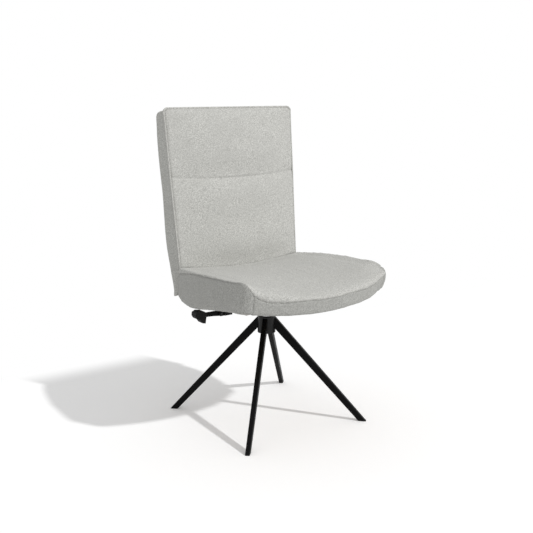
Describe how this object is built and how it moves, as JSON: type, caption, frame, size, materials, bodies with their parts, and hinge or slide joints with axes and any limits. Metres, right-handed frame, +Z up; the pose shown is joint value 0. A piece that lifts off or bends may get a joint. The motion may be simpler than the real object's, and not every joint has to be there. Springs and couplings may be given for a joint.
{
  "type": "swivel dining chair",
  "caption": "Upholstered swivel dining chair: dished seat, high reclining back, gas spring with a finger lever, on a black hub with splayed tapered legs.",
  "frame": {"origin": "on the floor, under the middle of the chair's width and depth", "axes": "+Z up, the sitter faces -Y, +X is the sitter's left"},
  "size_m": [0.5306, 0.5639, 0.9663],
  "materials": {
    "upholstery": "matte woven",
    "upholstery_side": "matte woven",
    "black_metal": "satin black powder coat",
    "black_plastic": "matte",
    "steel": "ground",
    "zinc": "zinc plated",
    "plywood": "raw plywood"
  },
  "bodies": {
    "base": {"hub": "black_metal", "leg_front_left": "black_metal", "leg_front_right": "black_metal", "leg_rear_left": "black_metal", "leg_rear_right": "black_metal", "foot_glides": "black_plastic", "hub_cap": "black_plastic", "upper_bush": "black_plastic", "lower_bush": "black_plastic"},
    "seat": {"spindle": "steel", "retaining_washer": "steel", "retaining_clip": "steel", "swivel_neck": "black_metal", "swivel_plate": "black_metal", "plate_bolts": "zinc", "tee_nuts": "zinc", "seat_board": "plywood", "front_rail": "plywood", "side_rail_left": "plywood", "side_rail_right": "plywood", "rear_rail": "plywood", "seat_cushion": "upholstery", "front_band": "upholstery", "seat_cheek_left": "upholstery_side", "seat_cheek_right": "upholstery_side", "hinge_bracket_left": "black_metal", "hinge_bracket_right": "black_metal", "bracket_screws": "zinc", "hinge_pins": "zinc", "spring_bracket": "black_metal", "gas_spring_cylinder": "black_metal", "release_head": "black_plastic", "lever_pin": "zinc"},
    "back": {"back_shell": "upholstery_side", "back_board": "plywood", "back_cushion": "upholstery", "hinge_arm_left": "black_metal", "hinge_arm_right": "black_metal", "arm_bolts": "zinc", "torque_bar": "black_metal", "spring_lug": "black_metal"},
    "rod": {"gas_spring_rod": "steel", "rod_clevis": "zinc", "rod_pin": "zinc"},
    "lever": {"release_lever": "black_metal", "lever_grip": "black_plastic"}
  },
  "joints": [
    {"name": "seat_swivel", "type": "hinge", "parent": "base", "child": "seat", "pos_m": [0, 0.0304, 0.33], "axis": [0, 0, 1], "continuous": true},
    {"name": "back_recline", "type": "hinge", "parent": "seat", "child": "back", "pos_m": [0, 0.1864, 0.412], "axis": [-1, 0, 0], "range_deg": [0, 16], "stiffness_Nm_per_rad": 16, "springref_deg": -57.3},
    {"name": "rod_slide", "type": "slide", "parent": "seat", "child": "rod", "axis": [0, -1, 0], "range_m": [0, 0.0112]},
    {"name": "lever_turn", "type": "hinge", "parent": "seat", "child": "lever", "pos_m": [-0.172, 0.0304, 0.362], "axis": [0, -1, 0], "range_deg": [0, 7], "stiffness_Nm_per_rad": 2, "springref_deg": -8.59}
  ],
  "couplings": [
    {"joint": "rod_slide", "follows": "back_recline", "m_per_rad": 0.03987}
  ]
}
